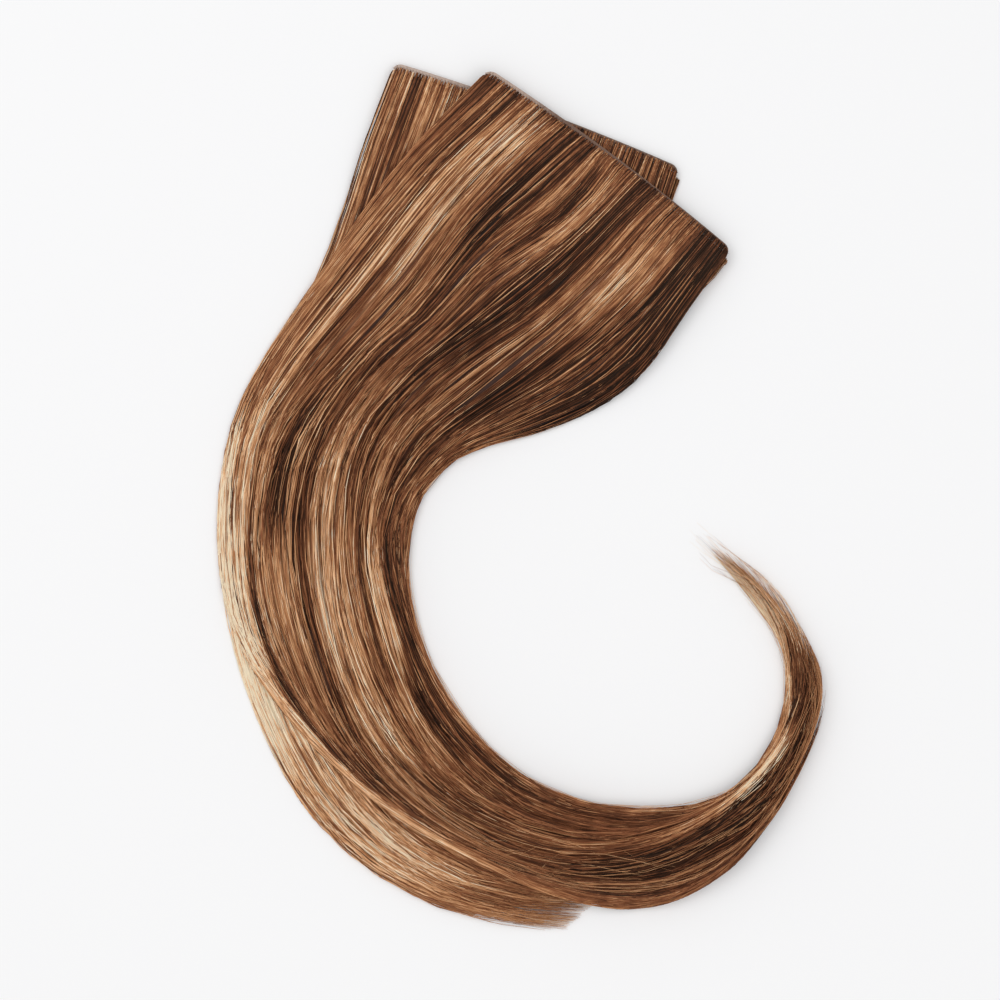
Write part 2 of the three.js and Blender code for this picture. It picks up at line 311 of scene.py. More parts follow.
BACK_STREAKS = [
    [0.03, 0.05, -1, 3, 0.42, 0.8],
    [0.1, 0.025, -1, 2.6, 0.24, 0.8],
    [0.16, 0.03, 0.3, 3, 0.56, 0.8],
    [0.21, 0.03, 0.3, 2.6, 0.74, 0.8],
    [0.3, 0.05, 0.3, 2, 0.6, 0.7],
    [0.55, 0.17, -1, 2, 0.3, 0.7],
    [0.85, 0.2, -1, 2, 0.24, 0.8],
    [0.03, 0.06, 2.4, 5.2, 0.74, 0.9],
    [0.06, 0.1, 5, 8, 1, 0.95],
    [0.12, 0.13, 7, 8.6, 1.08, 0.97],
    [0.2, 0.14, 8.4, 10, 0.73, 0.9],
    [0.2, 0.14, 9.3, 11, 0.84, 0.9],
    [0.03, 0.03, 9, 11, 0.66, 0.7],
    [0.16, 0.015, 8, 10.5, 0.5, 0.7],
    [0.25, 0.012, 8.4, 10.5, 0.4, 0.7],
    [0.12, 0.2, 10.8, 12.2, 0.46, 0.85],
    [0.02, 0.05, 10.8, 13.8, 0.54, 0.85],
    [0.3, 0.4, 12.2, 15, 0.74, 0.9],
]

# How far the front's outer edge is drawn in, by section
OUTER_EDGE = (
    [12.6, 14, 14.6, 15, 15.5, 16, 17, 17.5, 18.5],
    [0, 0.13, 0.22, 0.26, 0.25, 0.19, 0.215, 0.2, 0.18],
)

# How far the front's inner edge is drawn in, in millimetres
INNER_SETBACK = 2.0

# Its dip near the strip, and how far the back's outer edge is drawn in, as shares of the width
INNER_DIP = 0.012
BACK_SETBACK = 0.026

# The section where the front's hair ends, by its place along the strip
EARLY_ENDS = (
    [0, 0.2, 0.3, 0.42, 0.48, 0.54, 0.58],
    [16.2, 17.2, 17.8, 18.4, 18.5, 18.7, 20.5],
)

# Lines that the front's hair follows, by the place along the strip where each starts
# Their points were read off the photograph, in its pixels
PIXEL = 0.42
ORIGIN_PIXEL = (520.0, 496.5)
FRONT_GUIDES = {
    0.06: [
        (503, 81), (472, 111), (427, 153), (393, 193), (357, 237), (323, 280), (293, 317), (263, 360),
        (243, 397), (231, 435), (225, 480), (224, 520), (226, 570), (234, 615), (247, 650), (284, 702),
        (340, 763), (409, 815), (488, 858), (572, 890), (650, 897), (715, 870), (765, 822), (785, 785),
    ],
    0.3: [
        (561, 124), (532, 149), (493, 187), (453, 233), (420, 280), (387, 318), (347, 360), (313, 397),
        (287, 437), (272, 483), (267, 530), (268, 557), (276, 610), (293, 663), (318, 716), (352, 763),
        (397, 806), (450, 841), (510, 866), (562, 882), (622, 887), (680, 879), (730, 852), (772, 806),
        (797, 765),
    ],
    0.42: [
        (590, 146), (562, 169), (540, 191), (500, 223), (470, 253), (443, 287), (413, 322), (373, 353),
        (340, 397), (313, 443), (300, 497), (298, 550), (307, 610), (323, 663), (343, 717), (373, 763),
        (420, 807), (467, 837), (520, 861), (567, 875), (627, 877), (668, 872), (714, 850), (754, 826),
        (790, 775), (812, 722), (818, 685), (814, 655),
    ],
    0.48: [
        (604, 157), (588, 184), (560, 216), (525, 243), (490, 266), (462, 295), (435, 325), (400, 355),
        (370, 385), (340, 425), (320, 470), (313, 520), (316, 580), (328, 635), (350, 695), (385, 755),
        (430, 800), (480, 836), (530, 858), (580, 868), (640, 862), (690, 842), (735, 812), (775, 768),
        (803, 715), (812, 675), (806, 645),
    ],
    0.54: [
        (619, 167), (603, 190), (583, 212), (553, 240), (515, 265), (480, 290), (453, 318), (425, 345),
        (393, 370), (365, 402), (342, 442), (330, 490), (327, 545), (333, 610), (348, 665), (370, 718),
        (403, 765), (443, 800), (490, 826), (540, 845), (590, 852), (645, 845), (692, 826), (737, 795),
        (776, 752), (800, 705), (804, 665), (796, 635), (778, 605), (750, 575),
    ],
    0.66: [
        (648, 189), (625, 210), (593, 243), (560, 277), (520, 313), (473, 343), (433, 370), (400, 400),
        (373, 437), (360, 477), (355, 517), (357, 570), (368, 623), (387, 677), (413, 730), (447, 773),
        (493, 807), (540, 825), (600, 837), (660, 826), (700, 811), (742, 785), (778, 740), (795, 700),
        (797, 660), (788, 628), (770, 600), (735, 565),
    ],
    0.78: [
        (677, 210), (655, 232), (627, 267), (593, 303), (560, 335), (520, 367), (473, 403), (433, 431),
        (403, 467), (387, 503), (379, 543), (383, 583), (397, 630), (413, 683), (433, 720), (467, 760),
        (513, 797), (560, 817), (620, 829), (680, 818), (733, 790), (770, 750), (787, 703), (790, 663),
        (781, 622), (762, 592), (722, 555),
    ],
    0.9: [
        (706, 232), (685, 256), (660, 287), (627, 323), (587, 357), (547, 385), (500, 410), (467, 430),
        (433, 457), (407, 490), (393, 523), (392, 550), (398, 583), (410, 623), (430, 670), (460, 717),
        (493, 753), (533, 783), (580, 803), (640, 812), (700, 808), (740, 781), (772, 743), (785, 697),
        (785, 660), (776, 625), (757, 593), (716, 553),
    ],
}

# Uneven grain, in layers: cells across the hair, cells along it and the strength of each layer
FRONT_GRAIN = [(40, 6, 0.04), (100, 8, 0.06), (300, 10, 0.14)]
BACK_GRAIN = [(40, 5, 0.04), (100, 6, 0.06), (300, 8, 0.14)]

# The colour of each tone, and the table's colours
TONE_COLOURS = [
    (0.0, (34, 19, 13)),
    (0.2, (80, 45, 29)),
    (0.4, (146, 89, 58)),
    (0.6, (204, 146, 100)),
    (0.8, (250, 200, 152)),
    (1.0, (255, 238, 208)),
]
TABLE_COLOURS = [(0.0, (246, 246, 247)), (1.0, (250, 250, 250))]

# How fine the materials' noises are
HAIR_GRAIN = 160
# The cells of the painted glints: dashes of painted highlight along each hair
PAINTED_GLINT_CELLS = (540, 70, 1)
STRIP_CLOUD = 500

# A tooth's rings: where each lies, how far it moves with the tooth's size, its rise and its radius
TOOTH_RINGS = [
    [0.8, 0.0, -0.15, 0.32],
    [1.7, 0.0, 0.3, 0.3],
    [1.7, 1.0, 0.35, 0.2],
    [1.9, 1.7, 0.1, 0.05],
]

# A strip cut across: the share of its width and of its thickness at each corner
BAND_RING = [[0.0, 0.0], [0.0, 0.8], [0.12, 1.0], [0.88, 1.0], [1.0, 0.8], [1.0, 0.0]]


class Flow:
    """The way that one weft's hair lies, from its strip to its tips."""

    def __init__(self, sections, swells, way, combing=0.0):
        self.rows = lengthened(np.array(sections, float))
        self.last = len(sections) - 1
        self.swells = swells
        self.way = way
        self.combing = combing
        self.shares = np.linspace(0, 1, SHARES)
        self.strip = self.values(np.zeros(1))[0]
        self.strip_length = self.width(np.zeros(1))[0]
        self.walk()

    def values(self, section):
        """The columns at a section, or between two."""
        section = np.clip(section, 0, self.last)
        at = np.minimum(section.astype(int), self.last - 1)
        around = [self.rows[at + k] for k in range(4)]
        return curve(*around, (section - at)[..., None])

    def ground(self, share, section):
        """Where the hair lies on the table."""
        v = self.values(section)
        side = v[..., INNER] - v[..., OUTER]
        towards = unit(np.stack([-side[..., 1], side[..., 0]], -1))
        along_side = (share + v[..., LEAN] * middling(share))[..., None]
        return v[..., OUTER] + side * along_side + towards * (v[..., BOW] * middling(share))[..., None]

    def width(self, section):
        v = self.values(section)
        return np.linalg.norm(v[..., INNER] - v[..., OUTER], axis=-1)

    def heights(self, share, section):
        """The underside of the hair, and how far its top rises over that."""
        v = self.values(section)
        share = np.clip(self.way(share, section), 0, 1)
        base = np.maximum(0, v[..., BASE])
        arch = np.maximum(0, 1 - (2 * share - 1) ** 4)
        swell = 1 - SWELL + SWELL * np.abs(np.sin(np.pi * self.swells * share))
        rise = (v[..., CROWN] - base) * (1 - v[..., DOME] + v[..., DOME] * arch * swell)
        return base, rise

    def walk(self):
        """Tables of section and place, by the place along the strip and the distance from it."""
        sections = np.linspace(0, self.last, WALK_SECTIONS)
        points = self.ground(self.way(self.shares[:, None], sections), sections)
        steps = np.linalg.norm(np.diff(points, axis=1), axis=2)
        walked = np.hstack([np.zeros((SHARES, 1)), np.cumsum(steps, axis=1)])
        self.reach = walked[:, -1]
        self.distances = np.arange(0, self.reach.max() + WALK_PAST, WALK_STEP)
        self.section_grid = np.stack([np.interp(self.distances, row, sections) for row in walked])
        raw = self.ground(self.way(self.shares[:, None], self.section_grid), self.section_grid)
        past = np.maximum(0, self.distances[None] - self.reach[:, None])
        ahead = unit(points[:, -1] - points[:, -WALK_END])
        raw = raw + ahead[:, None] * past[..., None]
        combed = raw
        for _ in range(COMB_ROUNDS):
            combed = comb(combed)
        inner = np.clip(2 * middling(self.shares) - 0.3, 0, 1)
        upper = 1 - smooth(self.distances, *COMB_ENDS)
        self.place_grid = raw + (combed - raw) * (inner[:, None] * upper)[..., None] * self.combing

    def trace(self, line, at_sections):
        """The place across of a given line, where it crosses each section."""
        points = bend_through((np.array(line, float) - ORIGIN_PIXEL) * (PIXEL, -PIXEL), TRACE_STEPS)
        shares = np.linspace(0, 1, TRACE_SHARES)
        found = np.full(len(at_sections), np.nan)
        step = 0
        for number, v in enumerate(self.values(at_sections)):
            side = v[INNER] - v[OUTER]
            size = np.linalg.norm(side)
            ahead = np.array([side[1], -side[0]]) / size
            beyond = (points - v[OUTER]) @ ahead
            across = (points - v[OUTER]) @ side / size**2
            crossed = (beyond[:-1] <= 0) & (beyond[1:] > 0) & (np.abs(across[:-1] - 0.5) < 0.7)
            crossed[:step] = False
            if crossed.any():
                step = int(np.argmax(crossed))
                part = beyond[step] / (beyond[step] - beyond[step + 1])
                place = across[step] + (across[step + 1] - across[step]) * part
                found[number] = np.interp(place, shares + v[LEAN] * middling(shares), shares)
        known = ~np.isnan(found)
        return np.interp(at_sections, at_sections[known], found[known])

    def look_up(self, grid, share, distance):
        column = np.clip(share, 0, 1) * (SHARES - 1)
        left = np.minimum(column.astype(int), SHARES - 2)
        row = np.clip(distance / WALK_STEP, 0, len(self.distances) - 1.001)
        low = row.astype(int)
        across = column - left
        along = row - low
        if grid.ndim == 3:
            across = across[..., None]
            along = along[..., None]
        return between(grid, left, low, across, along)

    def section(self, share, distance):
        return self.look_up(self.section_grid, share, distance)

    def place(self, share, distance):
        """Where the hair lies on the table; a share past 0 or 1 lies beside the edge."""
        inside = np.clip(share, 0, 1)
        point = self.look_up(self.place_grid, inside, distance)
        v = self.values(self.section(inside, distance))
        side = v[..., INNER] - v[..., OUTER]
        return point + side * (share - inside)[..., None]

    def reach_at(self, share):
        return np.interp(share, self.shares, self.reach)

    def distance_to(self, share, section):
        column = np.rint(np.clip(share, 0, 1) * (SHARES - 1)).astype(int)
        found = [np.interp(s, self.section_grid[c], self.distances) for c, s in zip(column, section)]
        return np.minimum(np.array(found), self.reach[column])


def lengthened(points):
    """Points with one more beyond each end."""
    return np.vstack([2 * points[0] - points[1], points, 2 * points[-1] - points[-2]])


def curve(a, b, c, d, t):
    """A smooth curve from b to c, with a before it and d after it."""
    square = 2 * a - 5 * b + 4 * c - d
    cube = 3 * b - a - 3 * c + d
    return 0.5 * (2 * b + (c - a) * t + square * t**2 + cube * t**3)


def bend_through(points, steps):
    """A smooth line through points."""
    longer = lengthened(points)
    t = (np.arange(steps) / steps)[:, None]
    parts = [curve(*around, t) for around in zip(longer[:-3], longer[1:-2], longer[2:-1], longer[3:])]
    return np.vstack([*parts, points[-1:]])


def between(grid, i, j, a, b):
    """The value between four neighbours in a grid."""
    near = grid[i, j] * (1 - a) + grid[i + 1, j] * a
    far = grid[i, j + 1] * (1 - a) + grid[i + 1, j + 1] * a
    return near * (1 - b) + far * b


def unit(directions):
    return directions / np.linalg.norm(directions, axis=-1)[..., None]


def middling(share):
    """From 0 at both edges of the hair to 1 midway."""
    return 1 - (2 * share - 1) ** 2


def comb(points):
    """Evens out the lines along the hair, with their ends kept."""
    count = COMB_STEPS
    before = 2 * points[:, :1] - points[:, count:0:-1]
    after = 2 * points[:, -1:] - points[:, -2:-count - 2:-1]
    longer = np.concatenate([before, points, after], axis=1)
    total = np.cumsum(np.concatenate([np.zeros_like(longer[:, :1]), longer], axis=1), axis=1)
    window = 2 * count + 1
    return (total[:, window:] - total[:, :-window]) / window


def smooth(value, low, high):
    t = np.clip((value - low) / (high - low), 0, 1)
    return t * t * (3 - 2 * t)


def tapered(left):
    """How thick the hair is, by the length that is left to its tip."""
    return np.sqrt(np.clip(left / TAPER_LENGTH, TIP_SHARE**2, 1))


def raised(ground, height):
    """Points at a height over their places on the table."""
    return np.concatenate([ground, height[..., None]], -1)


class Chart:
    """The tones of one weft's hair: a base tone, streaks over it and an uneven grain."""

    def __init__(self, base, streaks, layers):
        self.base = base
        self.streaks = [dict(zip(STREAK_COLUMNS, streak)) for streak in streaks]
        self.layers = layers
        self.grids = [random.normal(0, size, (across + 2, along + 2)) for across, along, size in layers]

    def streaked(self, share, section, mix=None):
        """The tone at each place; with a mix, a streak takes some hairs whole and leaves the others."""
        tone = np.full(section.shape, self.base)
        for row in self.streaks:
            from_middle = np.abs(share - row["share"]) / row["half_width"]
            across = 1 - smooth(from_middle, 0.6, 1.4)
            starts = smooth(section, row["from_section"] - 0.5, row["from_section"] + 0.5)
            ends = 1 - smooth(section, row["to_section"] - 0.6, row["to_section"] + 0.6)
            weight = across * starts * ends * row["cover"]
            if mix is not None:
                weight = smooth(weight, mix - 0.15, mix + 0.15)
            tone = tone + (row["tone"] - tone) * weight
        return tone

    def grain(self, share, done):
        """Small changes of tone, from each layer of cells."""
        total = np.zeros(done.shape)
        for (across, along, _), grid in zip(self.layers, self.grids):
            x = share * across
            y = done * along
            i = x.astype(int)
            j = y.astype(int)
            total += between(grid, i, j, smooth(x - i, 0, 1), smooth(y - j, 0, 1))
        return total


class Cover:
    """The height of what lies below, so that hair rests on it."""

    def __init__(self, flow, tip_section):
        self.cells = np.zeros(COVER_CELLS)
        share = np.linspace(0, 1, COVER_SHARES)[:, None]
        end = flow.distance_to(share[:, 0], np.full(COVER_SHARES, tip_section))[:, None]
        distance = end * np.linspace(0, 1, COVER_STEPS)[None]
        base, rise = flow.heights(share, flow.section(share, distance))
        height = base + rise * tapered(end - distance)
        spot = self.spot(flow.place(share, distance)).astype(int)
        np.maximum.at(self.cells, (spot[..., 0], spot[..., 1]), height)
        columns, rows = COVER_CELLS
        for _ in range(2):
            grown = np.pad(self.cells, 1, mode="edge")
            self.cells = sum(grown[i:i + columns, j:j + rows] for i in range(3) for j in range(3)) / 9

    def spot(self, points):
        found = (points - COVER_LOW) / CELL
        return np.clip(found, 0, np.array(COVER_CELLS) - 2)

    def height(self, points):
        spot = self.spot(points)
        low = spot.astype(int)
        part = spot - low
        return between(self.cells, low[..., 0], low[..., 1], part[..., 0], part[..., 1])


def waves(count, sizes):
    """Slow random bends, one set for each hair or clump."""
    phase = random.uniform(0, 2 * np.pi, (count, len(sizes)))

    def bend(distance, chosen):
        total = np.zeros_like(distance)
        for k, (length, size) in enumerate(sizes):
            total += size * np.sin(2 * np.pi * distance / length + phase[chosen, k][:, None])
        return total

    return bend


def strand_steps(length, steps, tail_share):
    """Distances along each hair: few where it lies straight, more in its bends, out of step with others."""
    root = ROOT_STEPS[-1]
    late = int(steps * tail_share)
    early = steps + 1 - len(ROOT_STEPS) - late
    turn = length - TAIL_LENGTH if late else length
    even = root + (turn - root) * STRAIGHT_STEPS / early
    straight = np.where(length > WHOLE_LENGTH, STRAIGHT_LENGTH, even)
    shift = random.uniform(-0.4, 0.4, (len(length), early + late))
    shift[:, -1] = 0
    step = np.arange(1, early + late + 1)[None] + shift
    first = np.minimum(step, STRAIGHT_STEPS) / STRAIGHT_STEPS
    second = np.clip(step - STRAIGHT_STEPS, 0, early - STRAIGHT_STEPS) / (early - STRAIGHT_STEPS)
    third = np.maximum(step - early, 0) / max(late, 1)
    body = root + first * (straight - root)[:, None] + second * (turn - straight)[:, None]
    return np.hstack([np.tile(ROOT_STEPS, (len(length), 1)), body + third * (length - turn)[:, None]])


def mesh_from(name, points, material, *faces):
    """A mesh from points in millimetres and groups of faces, each group with one number of corners."""
    corners = np.concatenate([group.ravel() for group in faces])
    counts = np.concatenate([np.full(len(group), group.shape[1]) for group in faces])
    mesh = bpy.data.meshes.new(name)
    mesh.vertices.add(len(points))
    mesh.vertices.foreach_set("co", (points * MM).astype(np.float32).ravel())
    mesh.loops.add(len(corners))
    mesh.loops.foreach_set("vertex_index", corners.astype(np.int32))
    mesh.polygons.add(len(counts))
    mesh.polygons.foreach_set("loop_start", (np.cumsum(counts) - counts).astype(np.int32))
    mesh.update(calc_edges=True)
    mesh.polygons.foreach_set("use_smooth", np.ones(len(counts), bool))
    mesh.materials.append(material)
    piece = bpy.data.objects.new(name, mesh)
    scene.collection.objects.link(piece)
    return piece


def add_number(mesh, name, values):
    attribute = mesh.attributes.new(name, "FLOAT", "POINT")
    attribute.data.foreach_set("value", values.astype(np.float32).ravel())


def ring_walls(index):
    """Faces of four corners between rings of points that follow each other."""
    near = index[..., :-1, :]
    far = index[..., 1:, :]
    return np.stack([near, np.roll(near, -1, -1), np.roll(far, -1, -1), far], -1).reshape(-1, 4)


def tube_mesh(name, paths, radii, tones, material):
    """Closed tubes along paths, joined in one mesh."""
    count, rings = paths.shape[:2]
    along = unit(np.gradient(paths, axis=1))
    sideways = unit(np.stack([-along[..., 1], along[..., 0], np.zeros((count, rings))], -1))
    upward = np.cross(along, sideways)
    turn = 2 * np.pi * np.arange(STRAND_SIDES) / STRAND_SIDES + np.pi / 6
    ring = sideways[:, :, None] * np.cos(turn)[:, None] + upward[:, :, None] * np.sin(turn)[:, None]
    points = paths[:, :, None] + ring * radii[..., None, None]
    index = np.arange(count * rings * STRAND_SIDES).reshape(count, rings, STRAND_SIDES)
    ends = np.vstack([index[:, 0, ::-1], index[:, -1]])
    piece = mesh_from(name, points.reshape(-1, 3), material, ring_walls(index), ends)
    add_number(piece.data, "tone", np.repeat(tones[..., None], STRAND_SIDES, axis=2))
    strand_map(piece.data, count, rings)
    return piece


def strand_map(mesh, count, rings):
    """A map with one column for each hair, its root at the bottom and its tip at the top."""
    strand, ring, side = np.ogrid[:count, :rings - 1, :STRAND_SIDES]
    left = (strand + side / STRAND_SIDES) / count + 0 * ring
    right = (strand + (side + 1) / STRAND_SIDES) / count + 0 * ring
    low = ring / (rings - 1) + 0 * (strand + side)
    high = (ring + 1) / (rings - 1) + 0 * (strand + side)
    parts = [np.stack([left, low, right, low, right, high, left, high], -1).reshape(-1)]
    middle = (np.arange(count) + 0.5) / count
    shift = 0.2 / count
    for level in (0.002, 0.998):
        flat = np.full(count, level)
        end = [middle - shift, flat, middle + shift, flat, middle, flat + 0.001]
        parts.append(np.stack(end, -1).reshape(-1))
    layer = mesh.uv_layers.new(name="OFBake")
    layer.uv.foreach_set("vector", np.concatenate(parts).astype(np.float32))


def build_strands(name, material, paths, radii, tones, pieces=1):
    """A group of single hairs, made as closed tapered tubes in a few meshes."""
    for number, chosen in enumerate(np.array_split(np.arange(len(paths)), pieces), 1):
        piece = tube_mesh(f"{name}_{number}", paths[chosen], radii[chosen], tones[chosen], material)
        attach(piece, "root")


def rgb(red, green, blue):
    """A colour of 0 to 255 as a shader's own numbers."""
    value = np.array([red, green, blue]) / 255
    line = np.where(value <= 0.04045, value / 12.92, ((value + 0.055) / 1.055) ** 2.4)
    return (*line.tolist(), 1.0)


class Look:
    """A material, with short ways to add nodes to it."""

    def __init__(self, name):
        self.material = bpy.data.materials.new(name)
        self.material.use_nodes = True
        self.tree = self.material.node_tree
        self.shader = self.tree.nodes["Principled BSDF"]

    def feed(self, node, inputs):
        """Numbers go straight into a node's inputs, and other nodes' outputs are linked to them."""
        for socket, value in inputs.items():
            if isinstance(value, bpy.types.NodeSocket):
                self.tree.links.new(value, node.inputs[socket])
            else:
                node.inputs[socket].default_value = value

    def add(self, kind, output, inputs, **settings):
        """A new node's output."""
        node = self.tree.nodes.new("ShaderNode" + kind)
        for setting, value in settings.items():
            setattr(node, setting, value)
        self.feed(node, inputs)
        return node.outputs[output]

    def number(self, attribute):
        return self.add("Attribute", "Fac", {}, attribute_name=attribute)

    def noise(self, place, scale, detail):
        return self.add("TexNoise", "Fac", {"Vector": place, "Scale": scale, "Detail": detail})

    def math(self, operation, *values):
        return self.add("Math", "Value", dict(enumerate(values)), operation=operation)

    def stretch(self, value, low, high, span=(0, 1)):
        """A value's span, stretched from low to high."""
        ends = {"From Min": span[0], "From Max": span[1], "To Min": low, "To Max": high}
        return self.add("MapRange", "Result", {"Value": value, **ends})

    def bump(self, height, strength, distance):
        return self.add("Bump", "Normal", {"Height": height, "Strength": strength, "Distance": distance})

    def ramp(self, value, stops):
        """The colour at a value, from places with colours."""
        colour = self.add("ValToRGB", "Color", {"Fac": value})
        elements = colour.node.color_ramp.elements
        for place, _ in stops[2:]:
            elements.new(place)
        for element, (place, shade) in zip(elements, stops):
            element.position = place
            element.color = rgb(*shade)
        return colour


def add_painted_glints(look, tone):
    """Painted glints: short light and dark dashes along each hair, a painted highlight that is stronger
    where its tone is light.
    """
    place = look.add("UVMap", "UV", {}, uv_map="OFBake")
    cells = look.add("VectorMath", "Vector", {0: place, 1: PAINTED_GLINT_CELLS}, operation="MULTIPLY")
    dashes = look.stretch(look.noise(cells, 1, 1), -1, 1, (0.3, 0.7))
    strength = look.math("MULTIPLY_ADD", tone, 0.17, 0.05)
    return look.math("MULTIPLY_ADD", dashes, strength, tone)


def hair_material(name, roughness):
    """Hair coloured by each strand's tone, with small changes along it and painted glints."""
    look = Look(name)
    grain = look.noise(look.add("TexCoord", "Object", {}), HAIR_GRAIN, 3)
    tone = look.math("ADD", look.number("tone"), look.stretch(grain, -0.07, 0.07))
    look.feed(look.shader, {
        "Base Color": look.ramp(add_painted_glints(look, tone), TONE_COLOURS),
        "Roughness": look.stretch(grain, roughness - 0.07, roughness + 0.07),
        "Specular IOR Level": 0.24,
        "Specular Tint": rgb(255, 234, 206),
    })
    return look.material


def body_material(name):
    """The deeper hair of a body: fine lines that run along it."""
    look = Look(name)
    place = look.add("CombineXYZ", "Vector", {"X": look.number("across"), "Y": look.number("along")})
    lines = look.noise(place, 1, 4)
    tone = look.math("ADD", look.number("tone"), look.stretch(lines, -0.2, 0.1))
    look.feed(look.shader, {
        "Base Color": look.ramp(tone, TONE_COLOURS),
        "Normal": look.bump(lines, 0.6, 0.4 * MM),
        "Roughness": 0.5,
        "Specular IOR Level": 0.4,
    })
    return look.material


def strip_material(name, pale, deep, ends):
    """A thin cloudy strip, pale at one end, with the brown of the hair showing through at the other."""
    look = Look(name)
    place = look.add("TexCoord", "Object", {})
    cloud = look.noise(place, STRIP_CLOUD, 4)
    from_left = look.add("SeparateXYZ", "X", {"Vector": place})
    along = look.stretch(from_left, 0, 1, (ends[0] * MM, ends[1] * MM))
    depth = look.math("MULTIPLY_ADD", cloud, 0.7, along)
    look.feed(look.shader, {
        "Base Color": look.ramp(depth, [(0.25, pale), (1.0, deep)]),
        "Normal": look.bump(cloud, 0.3, 0.2 * MM),
        "Roughness": 0.42,
    })
    return look.material


def kept(share, section):
    """Hair that keeps its place across from the strip to the tips."""
    return share + 0 * section


def drawn_in(share, section):
    """Hair whose outer edge is drawn in a little towards the tips."""
    drawn = smooth(section, 9, 10.5) + 0.8 * smooth(section, 10.8, 12)
    return share + BACK_SETBACK * drawn * (1 - share)


def guided(flow, guides):
    """Hair that follows given lines: its place across, by its root's place and the section."""
    sections = np.linspace(0, flow.last, GUIDE_STEPS + 1)
    roots = np.array([0.0, *guides, 1.0])
    traced = [flow.trace(line, sections) for line in guides.values()]
    outer = np.interp(sections, *OUTER_EDGE)
    dip = INNER_DIP * np.exp(-(((sections - 2) / 0.55) ** 2))
    lower = smooth(sections, 8.5, 10) - smooth(sections, 14.5, 18)
    drawn = 1 + 0.8 * lower - 0.6 * smooth(sections, 18, 20)
    setback = INNER_SETBACK * smooth(sections, 2.6, 3.5) * drawn
    inner = 1 - dip - setback / flow.width(sections)
    traced[0] = np.maximum(traced[0], outer)
    table = np.vstack([outer, *traced, inner])

    def way(share, section):
        share, section = np.broadcast_arrays(share, section)
        inside = np.clip(share, 0, 1)
        row = np.clip(np.searchsorted(roots, inside, side="right") - 1, 0, len(roots) - 2)
        across = (inside - roots[row]) / (roots[row + 1] - roots[row])
        step = np.clip(section / flow.last * GUIDE_STEPS, 0, GUIDE_STEPS - 0.001)
        low = step.astype(int)
        return between(table, row, low, across, step - low) + share - inside

    return way


def places_across(flow, spec, distance, done):
    """Where each hair lies across the flow: in a tuft at the strip, then in a clump, with its own bends."""
    share = spec["share"][:, None]
    pull = spec["gather"] * smooth(distance, *GATHER_SPAN) + 0.3 * smooth(done, *TIP_GATHER_SPAN)
    gathered = share + (spec["centre"][:, None] - share) * pull
    tufts = np.round(flow.strip_length / TUFT_PITCH)
    tuft = (np.floor(share * tufts) + 0.5) / tufts
    loose = 0.7 + 0.3 * smooth(distance, *TUFT_SPAN)
    ends = smooth(np.abs(share - 0.5), 0.47, 0.49)
    gathered = tuft + (gathered - tuft) * np.maximum(loose, ends)
    width = flow.width(flow.section(share, distance))
    slow = spec["clump_bend"](distance, spec["clump"]) * smooth(distance, *CLUMP_BEND_SPAN)
    quick = spec["hair_bend"](distance, np.arange(len(share))) * smooth(distance, *HAIR_BEND_SPAN)
    fan = spec["fan"][:, None] * smooth(done, *FAN_SPAN) ** 2
    place = gathered + (slow + quick) / np.maximum(width, 30) + fan / np.maximum(width, 8)
    edge = np.clip(place, 0.0, 1.0)
    return edge + (place - edge) * spec["stray"]


def hair_paths(flow, spec, cover, steps, tail_share):
    """Paths, radii and sections of a group of hairs that lie along a flow."""
    start = spec["start"]
    length = spec["length"]
    distance = strand_steps(length - start, steps, tail_share) + start[:, None]
    done = (distance - start[:, None]) / (length - start)[:, None]
    place = places_across(flow, spec, distance, done)
    here = distance * flow.reach_at(place) / flow.reach_at(spec["share"])[:, None]
    ground = flow.place(place, here)
    section = flow.section(place, here)
    base, rise = flow.heights(place, section)
    thin = tapered(length[:, None] - distance)
    thin = thin + (1 - thin) * spec["floating"]
    level = spec["level"][:, None]
    sunk = level + (1 - level) * (1 - smooth(distance, *SINK_SPAN))
    height = base + rise * sunk * thin
    if cover is not None:
        height = np.maximum(height, cover.height(ground) + COVER_GAP + 1.2 * (level - 0.7) * thin)
    height = np.maximum(height, 0.0) + STRAND_RADIUS + spec["lift"][:, None]
    radius = spec["radius"][:, None] * (1 - 0.7 * smooth(done, *THIN_SPAN))
    return raised(ground, height), radius, section


def corner_drop(flow, share):
    """How far a strip's rounded ends fall back from its straight edge."""
    from_end = np.minimum(share, 1 - share) * flow.strip_length
    inside = np.clip(CORNER_RADIUS - from_end, 0, CORNER_RADIUS)
    return CORNER_RADIUS - np.sqrt(CORNER_RADIUS**2 - inside**2)


def hair_group(
    flow, count, shares, levels, clumps, end, gather, floating=0.0, fan=1.6, stray=0.2, extra=0.0,
):
    """Chosen places, lengths and bends for a group of hairs, some of them extra ones at the inner edge."""
    more = int(count * extra)
    share = np.sort(np.append(random.uniform(*shares, count - more), random.uniform(*EXTRA_SHARES, more)))
    centres = np.sort(random.uniform(*shares, clumps))
    clump = np.clip(np.searchsorted(centres, share), 0, clumps - 1)
    section_end = end(share)
    root = random.uniform(*ROOT_DEPTHS, count) - 0.9 * smooth(share, 0.25, 0.7)
    return {
        "share": share,
        "start": root + corner_drop(flow, share),
        "length": flow.distance_to(share, section_end),
        "level": random.uniform(*levels, count) + random.normal(0, 0.03, clumps)[clump],
        "lift": random.uniform(0, 0.3, count),
        "clump": clump,
        "centre": centres[clump],
        "gather": gather,
        "clump_bend": waves(clumps, CLUMP_WAVES),
        "hair_bend": waves(count, HAIR_WAVES),
        "fan": random.normal(0, fan, count),
        "stray": stray,
        "floating": floating,
        "radius": STRAND_RADIUS * random.uniform(0.75, 1.15, count),
        "hair_tone": random.normal(0, 0.11, count),
        "mix": random.uniform(0.0, 1.0, count),
    }


